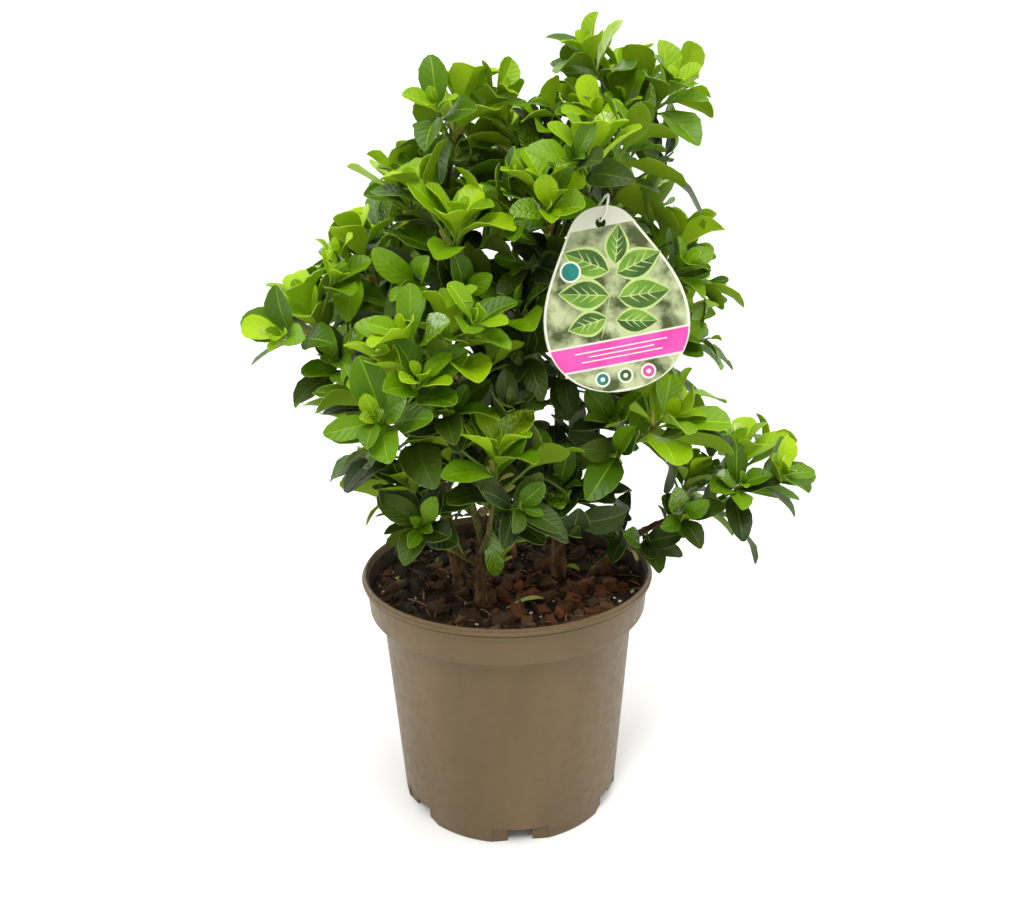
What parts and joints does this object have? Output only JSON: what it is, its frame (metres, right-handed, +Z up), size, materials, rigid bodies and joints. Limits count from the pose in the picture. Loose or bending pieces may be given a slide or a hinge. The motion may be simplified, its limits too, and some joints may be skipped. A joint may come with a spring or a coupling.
{
  "type": "potted japanese spindle",
  "caption": "Bushy evergreen shrub with small glossy oval leaves, growing in a round plastic nursery pot with a rolled lip and drain slots, with a hanging plant label.",
  "frame": {"origin": "centre of the pot's flat underside, on the surface that it stands on", "axes": "+Z up along the pot's axis, -Y towards the front, where the plant label hangs, +X to the right as seen from the front"},
  "size_m": [0.347, 0.2945, 0.4851],
  "materials": {
    "pot": "smooth satin moulded plastic",
    "soil": "loose moist potting mix with bark chips",
    "bark": "thin brown bark",
    "leaf": "glossy leaves",
    "label": "glossy printed plastic card",
    "string": "thin pale plastic string"
  },
  "bodies": {
    "root": {"bough_back_left_low": "bark", "bough_back_left_upper": "bark", "bough_back_right_low": "bark", "bough_back_right_upper": "bark", "bough_front_centre": "bark", "bough_front_left": "bark", "bough_front_low": "bark", "bough_label_front": "bark", "bough_left": "bark", "bough_left_back": "bark", "bough_left_low": "bark", "bough_left_upper": "bark", "bough_right_front": "bark", "bough_right_mid": "bark", "bough_right_upper": "bark", "bough_top_centre": "bark", "bough_top_right": "bark", "label": "label", "label_string": "string", "mass_back_left_low": "leaf", "mass_back_left_upper": "leaf", "mass_back_low": "leaf", "mass_back_mid": "leaf", "mass_back_right_low": "leaf", "mass_back_right_upper": "leaf", "mass_back_top": "leaf", "mass_centre": "leaf", "mass_centre_upper": "leaf", "mass_far_right": "leaf", "mass_front_centre": "leaf", "mass_front_foot": "leaf", "mass_front_left": "leaf", "mass_front_low": "leaf", "mass_label_front": "leaf", "mass_left": "leaf", "mass_left_back": "leaf", "mass_left_low": "leaf", "mass_left_upper": "leaf", "mass_low_centre": "leaf", "mass_low_front_left": "leaf", "mass_right_base": "leaf", "mass_right_front": "leaf", "mass_right_low": "leaf", "mass_right_mid": "leaf", "mass_right_upper": "leaf", "mass_top_centre": "leaf", "mass_top_inner": "leaf", "mass_top_left": "leaf", "mass_top_mid": "leaf", "mass_top_right": "leaf", "mass_upper_left": "leaf", "mass_upper_left_front": "leaf", "pot": "pot", "soil": "soil", "stem_back": "bark", "stem_front": "bark", "stem_left": "bark", "stem_mid": "bark", "stem_right": "bark"}
  },
  "joints": []
}
